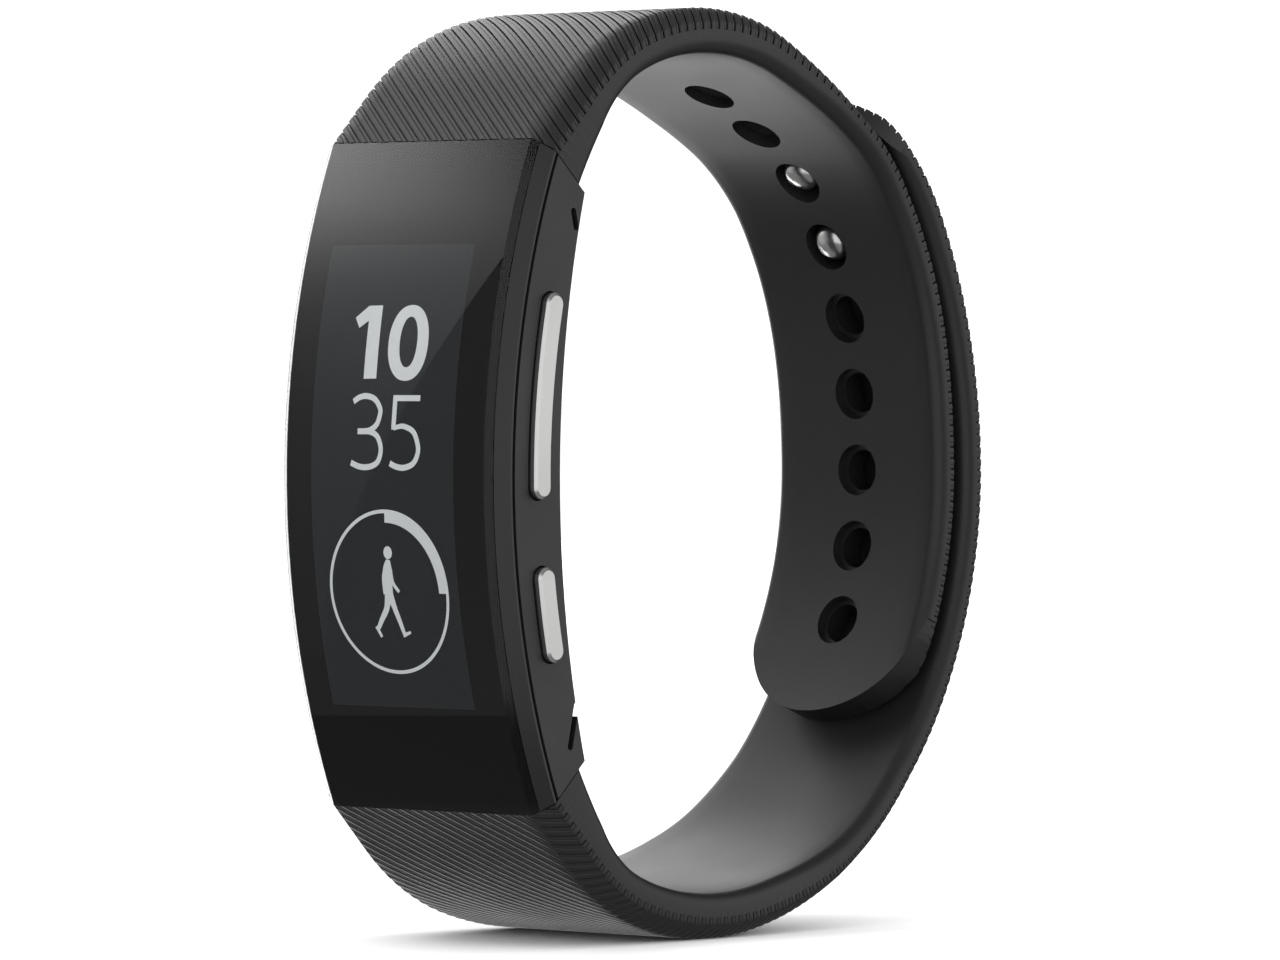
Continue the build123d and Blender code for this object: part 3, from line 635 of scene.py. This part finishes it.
# ---- Clasp studs ----------------------------------------------------------------------------------------
# Two polished steel studs moulded into the lower strap. Their heads snap through two holes of the
# upper strap and hold the loop closed.
def make_stud(name, station):
    """Turned stud: a domed head with a small flat, a waist below it and a foot in the rubber."""
    top = upper_outset(station) + root_thickness(station) + 0.12
    profile = ((0.0, 0.0), (0.35, 0.0), (0.42, 0.03), (0.8, 0.13), (1.12, 0.33), (1.33, 0.62),
               (1.4, 0.85), (1.34, 1.02), (1.15, 1.1), (0.95, 1.12), (0.95, top - 1.0),
               (1.1, top - 0.85), (0.0, top - 0.85))
    sides = 48
    bm = bmesh.new()
    bmesh.ops.create_grid(bm, x_segments=sides, y_segments=len(profile) - 1, size=0.5)
    for vertex in bm.verts:
        radius, drop = profile[round((vertex.co.y + 0.5) * (len(profile) - 1))]
        angle = 2 * math.pi * round((vertex.co.x + 0.5) * sides) / sides
        vertex.co = Vector((radius * math.cos(angle), radius * math.sin(angle), drop)) / 1000
    bmesh.ops.remove_doubles(bm, verts=bm.verts, dist=1e-7)
    bmesh.ops.transform(bm, matrix=loop_matrix(station, top), verts=bm.verts)
    stud = new_piece(name, bm, polished_steel, smooth_below=32)
    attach(stud, "clasp_tail")
    return stud


polished_steel = finish("polished_steel", (0.78, 0.78, 0.77), (0.2, 0.3), 0.05, Metallic=1.0)
lower_stud = make_stud("stud_lower", hole_stations[3])
upper_stud = make_stud("stud_upper", hole_stations[2])
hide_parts("clasp_studs")
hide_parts("clasp_studs")

# ---- Studio -----------------------------------------------------------------------------------------------
# White floor and surroundings, soft boxes over, beside and in front of the band, and the camera.
# The glowing front card has a curved right edge, which the glass shows as a slanting reflection.
def make_floor():
    """Pale floor under the band, left out of its reflections."""
    bm = bmesh.new()
    bmesh.ops.create_grid(bm, x_segments=1, y_segments=1, size=6.0)
    floor = new_piece("floor", bm, finish("floor_white", (0.9, 0.9, 0.9), (0.85, 0.9)))
    floor.visible_glossy = False
    floor.visible_transmission = False


def make_world():
    """White round the object, dim in its reflections, where the soft boxes do the work."""
    world = bpy.data.worlds.new("studio")
    bpy.context.scene.world = world
    world.use_nodes = True
    nodes, links = world.node_tree.nodes, world.node_tree.links
    back = nodes["Background"]
    path = nodes.new("ShaderNodeLightPath")
    pick = nodes.new("ShaderNodeMapRange")
    pick.inputs["To Min"].default_value = 1.3
    pick.inputs["To Max"].default_value = 0.2
    links.new(path.outputs["Is Glossy Ray"], pick.inputs["Value"])
    back.inputs["Color"].default_value = (1.0, 1.0, 1.0, 1.0)
    links.new(pick.outputs["Result"], back.inputs["Strength"])


def soft_box(name, azimuth, elevation, distance, width, height, radiance):
    """Area light round the band. Azimuth runs from the front towards the keys, in degrees."""
    az, el = math.radians(azimuth), math.radians(elevation)
    out = Vector((math.sin(az) * math.cos(el), -math.cos(az) * math.cos(el), math.sin(el)))
    light = bpy.data.lights.new(name, "AREA")
    light.shape = "RECTANGLE"
    light.size = width
    light.size_y = height
    light.energy = radiance * math.pi * width * height
    obj = bpy.data.objects.new(name, light)
    bpy.context.scene.collection.objects.link(obj)
    turn = out.to_track_quat("Z", "Y").to_matrix().to_4x4()
    obj.matrix_world = Matrix.Translation(out * distance + Vector((0, 0, 0.033))) @ turn
    obj.visible_camera = False
    return obj


def make_front_card():
    """Glowing card before the band. Its right edge is curved and its glow falls towards the floor."""
    table = ((-0.5, 0.36), (-0.24, 0.4), (0.075, 0.48), (0.18, 0.54), (0.26, 0.62), (0.34, 0.72),
             (0.42, 0.9), (0.5, 1.22), (0.59, 1.9), (0.735, 3.5), (0.89, 4.3), (1.3, 4.3))
    material = bpy.data.materials.new("card_glow")
    material.use_nodes = True
    nodes, links = material.node_tree.nodes, material.node_tree.links
    glow = nodes.new("ShaderNodeAttribute")
    glow.attribute_name = "glow"
    emit = nodes.new("ShaderNodeEmission")
    links.new(glow.outputs["Fac"], emit.inputs["Strength"])
    links.new(emit.outputs["Emission"], nodes["Material Output"].inputs["Surface"])
    az = math.radians(-52.0)
    out = Vector((math.sin(az), -math.cos(az), 0.0))
    across = Vector((math.cos(az), math.sin(az), 0.0))
    columns, rows = 40, 72
    bm = bmesh.new()
    bmesh.ops.create_grid(bm, x_segments=columns, y_segments=rows, size=0.5)
    layer = bm.verts.layers.float.new("glow")
    for vertex in bm.verts:
        part = vertex.co.x + 0.5
        q = -0.5 + 1.8 * (vertex.co.y + 0.5)
        edge = 0.192 - 0.3 * (q - 0.07) ** 2
        left = 0.165 - 0.36 * (q - 0.04) ** 2
        p = edge - (1 - part) ** 2 * 0.9
        for (q0, g0), (q1, g1) in zip(table, table[1:]):
            if q0 <= q <= q1:
                strong = g0 + (g1 - g0) * (q - q0) / (q1 - q0)
        weak = min(strong, 0.75)
        t = min(1.0, max(0.0, (p - left) / 0.072))
        value = strong + (weak - strong) * t
        away = ease(left - p, 0.02, 0.2)
        vertex[layer] = value + (min(value, 0.7) - value) * away
        vertex.co = out * 1.5 + across * p + Vector((0, 0, 0.033 + q))
    card = new_piece("front_card", bm, material)
    card.visible_camera = False
    card.visible_shadow = False


make_floor()
make_world()
make_front_card()
soft_box("top_box", -60.0, 68.0, 1.4, 1.3, 1.3, 1.1)
soft_box("side_box", 138.0, 14.0, 1.6, 1.5, 1.6, 0.9)
soft_box("front_fill", 22.0, 5.0, 1.6, 1.7, 2.0, 0.68)
soft_box("key_strip", 62.0, 0.0, 1.6, 0.5, 1.6, 0.9)
soft_box("rim_strip", -116.0, 0.0, 1.3, 0.9, 2.6, 2.6)
soft_box("base_fill", -47.0, -2.0, 1.6, 0.9, 1.3, 0.13)

camera_data = bpy.data.cameras.new("camera")
camera_data.sensor_width = 36.0
camera_data.lens = 238.6
camera_data.clip_start = 0.01
camera = bpy.data.objects.new("camera", camera_data)
bpy.context.scene.collection.objects.link(camera)
view_az, view_el = math.radians(43.669), math.radians(0.767)
towards_camera = Vector((math.sin(view_az) * math.cos(view_el), -math.cos(view_az) * math.cos(view_el),
                         math.sin(view_el)))
camera.location = Vector((0.4210, -0.4425, 0.04061))
camera.rotation_euler = towards_camera.to_track_quat("Z", "Y").to_euler()
bpy.context.scene.camera = camera
bpy.context.scene.view_settings.view_transform = "Standard"
